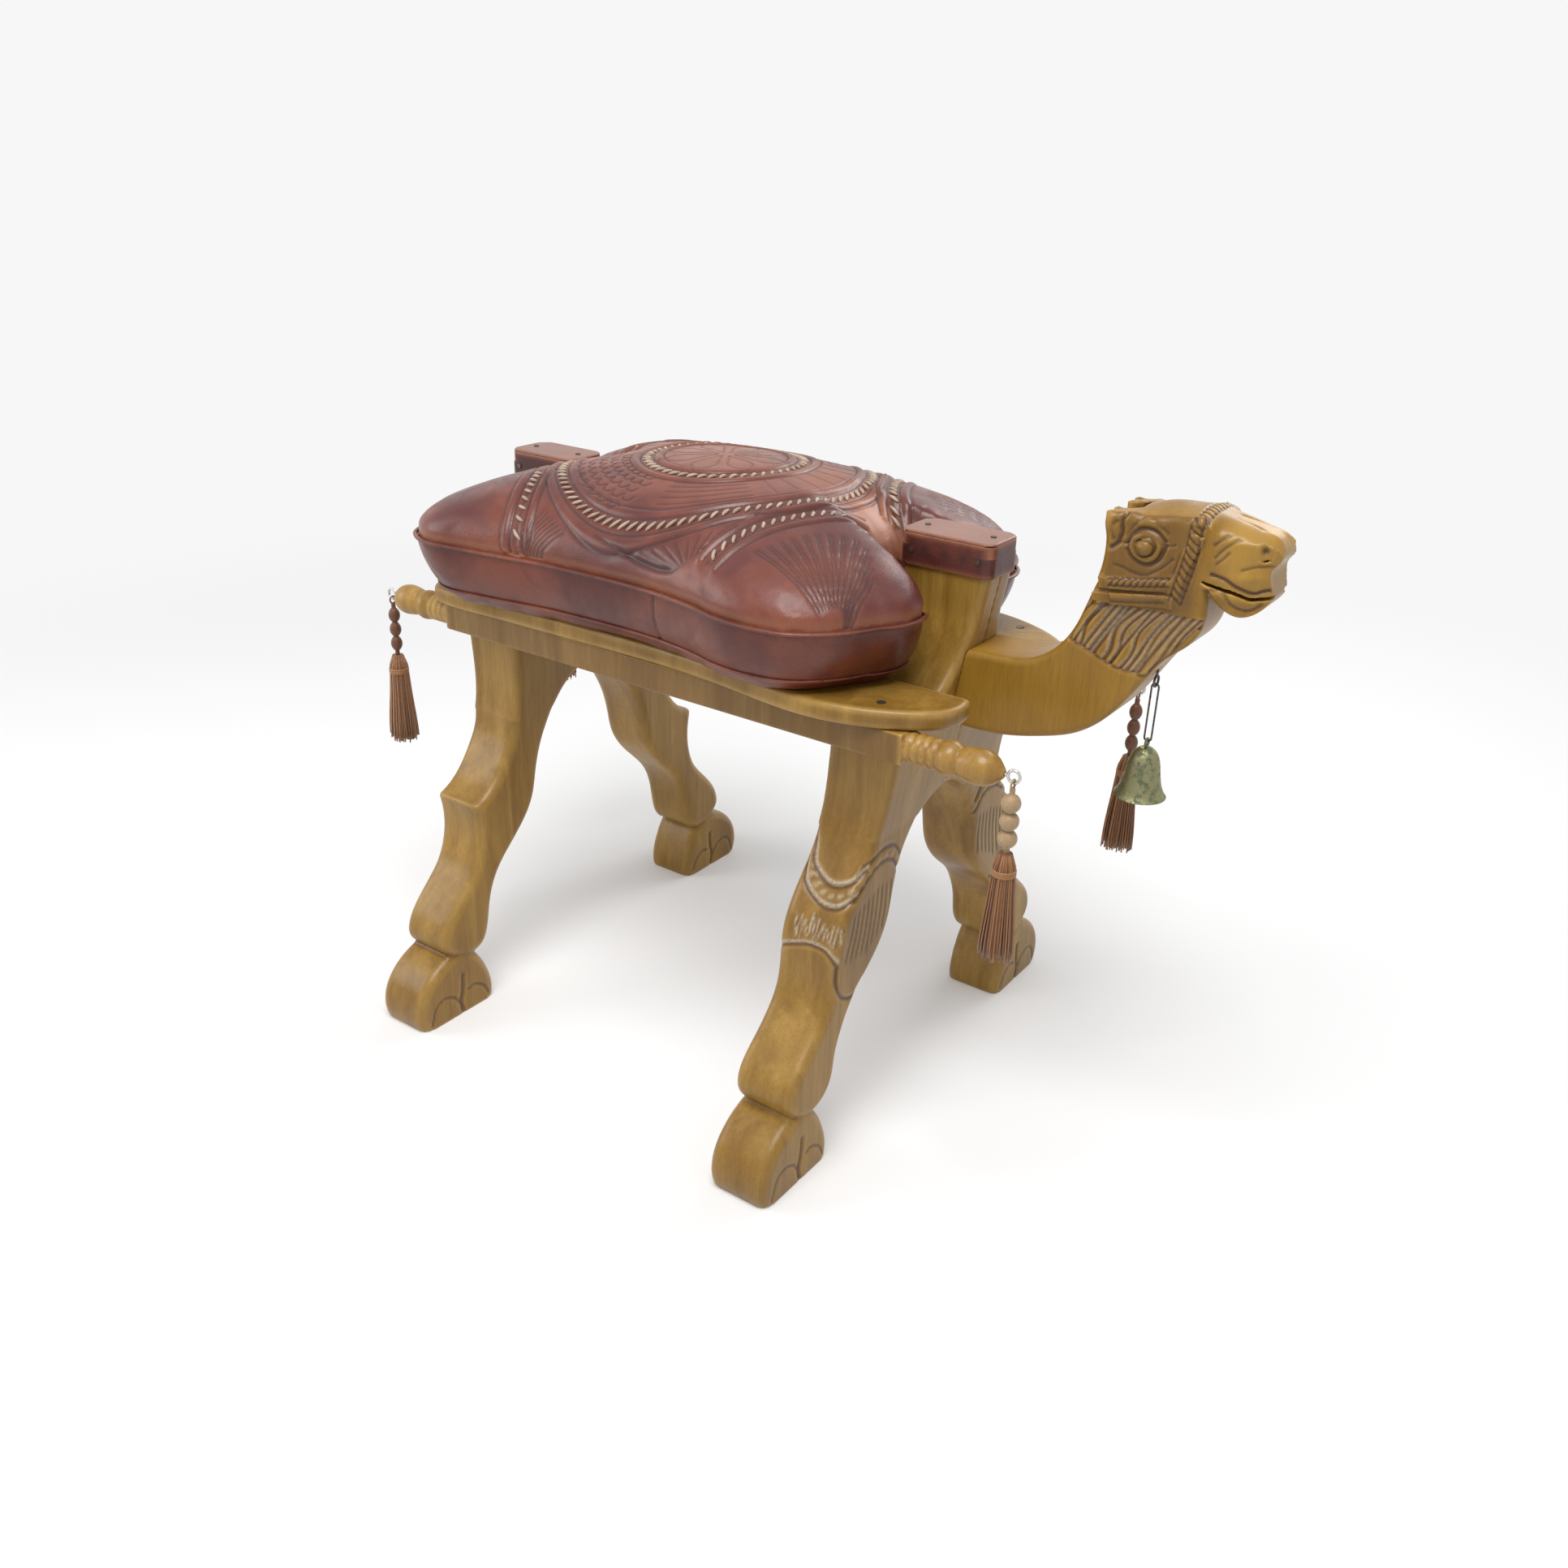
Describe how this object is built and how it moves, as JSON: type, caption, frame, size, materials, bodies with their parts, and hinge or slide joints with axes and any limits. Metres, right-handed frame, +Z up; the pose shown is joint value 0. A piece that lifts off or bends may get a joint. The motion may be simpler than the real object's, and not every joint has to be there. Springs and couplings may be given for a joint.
{
  "type": "camel saddle stool",
  "caption": "Carved wooden camel saddle stool with a leather cushion, turned rails, a camel head, tassels and a hanging bell.",
  "frame": {"origin": "on the floor under the centre of the whole stool's box", "axes": "+X towards the camel's nose, +Y to the camel's left, +Z up"},
  "size_m": [0.7638, 0.464, 0.5291],
  "materials": {
    "varnished_wood": "honey varnish with dark carved lines",
    "amber_wood": "deep amber varnish",
    "board_wood": "dusty varnish",
    "dowel_wood": "bare",
    "cushion_leather": "tooled mahogany leather, worn",
    "welt_leather": "piped seam",
    "cap_leather": "nailed leather, worn",
    "dark_iron": "dull",
    "bright_steel": "plated",
    "bell_wire": "tarnished wire",
    "bell_brass": "tarnished, greenish",
    "tassel_cord": "knotted silk cord",
    "tassel_silk": "silk strands"
  },
  "bodies": {
    "frame": {"front_leg_left": "varnished_wood", "front_leg_right": "varnished_wood", "rear_leg_left": "varnished_wood", "rear_leg_right": "varnished_wood", "side_rail_left": "varnished_wood", "side_rail_right": "varnished_wood", "side_board_left": "board_wood", "side_board_right": "board_wood", "board_nails_left": "dark_iron", "board_nails_right": "dark_iron", "rail_dowels_left": "dowel_wood", "rail_dowels_right": "dowel_wood", "frame_dowels_front": "dowel_wood", "frame_dowels_rear": "dowel_wood", "neck_dowels": "dowel_wood", "neck_and_head": "amber_wood", "front_cap_band": "cap_leather", "rear_cap_band": "cap_leather", "front_cap_top": "cap_leather", "rear_cap_top": "cap_leather", "cap_tacks_front": "dark_iron", "cap_tacks_rear": "dark_iron", "screw_eye_front_left": "bright_steel", "screw_eye_front_right": "bright_steel", "screw_eye_rear_left": "bright_steel", "screw_eye_rear_right": "bright_steel", "bell_eye": "dark_iron"},
    "cushion": {"cushion": "cushion_leather", "cushion_welt_top": "welt_leather", "cushion_welt_bottom": "welt_leather"},
    "tassel_front_left": {"tassel_cord_front_left": "tassel_cord", "tassel_skirt_front_left": "tassel_silk"},
    "tassel_front_right": {"tassel_cord_front_right": "tassel_cord", "tassel_skirt_front_right": "tassel_silk"},
    "tassel_rear_left": {"tassel_cord_rear_left": "tassel_cord", "tassel_skirt_rear_left": "tassel_silk"},
    "tassel_rear_right": {"tassel_cord_rear_right": "tassel_cord", "tassel_skirt_rear_right": "tassel_silk"},
    "bell_hanger": {"bell_hanger": "bell_wire"},
    "bell": {"bell": "bell_brass", "clapper_pin": "bell_wire"},
    "clapper": {"clapper": "bell_wire"}
  },
  "joints": [
    {"name": "cushion_lift", "type": "slide", "parent": "frame", "child": "cushion", "axis": [0, 0, 1], "range_m": [0, 0.12]},
    {"name": "tassel_front_left_swing", "type": "hinge", "parent": "frame", "child": "tassel_front_left", "pos_m": [0.25665, 0.108, 0.352], "axis": [0, -1, 0], "range_deg": [-28, 80]},
    {"name": "tassel_front_right_swing", "type": "hinge", "parent": "frame", "child": "tassel_front_right", "pos_m": [0.25665, -0.108, 0.352], "axis": [0, -1, 0], "range_deg": [-28, 80]},
    {"name": "tassel_rear_left_swing", "type": "hinge", "parent": "frame", "child": "tassel_rear_left", "pos_m": [-0.36855, 0.108, 0.352], "axis": [0, 1, 0], "range_deg": [-28, 80]},
    {"name": "tassel_rear_right_swing", "type": "hinge", "parent": "frame", "child": "tassel_rear_right", "pos_m": [-0.36855, -0.108, 0.352], "axis": [0, 1, 0], "range_deg": [-28, 80]},
    {"name": "hanger_swing", "type": "hinge", "parent": "frame", "child": "bell_hanger", "pos_m": [0.30699, 0, 0.40206], "axis": [1, 0, 0], "range_deg": [-50, 50]},
    {"name": "bell_swing", "type": "hinge", "parent": "bell_hanger", "child": "bell", "pos_m": [0.30699, 0, 0.35896], "axis": [0, 1, 0], "range_deg": [-40, 40]},
    {"name": "clapper_swing", "type": "hinge", "parent": "bell", "child": "clapper", "pos_m": [0.30699, 0, 0.34241], "axis": [0, 1, 0], "range_deg": [-24, 24]}
  ]
}
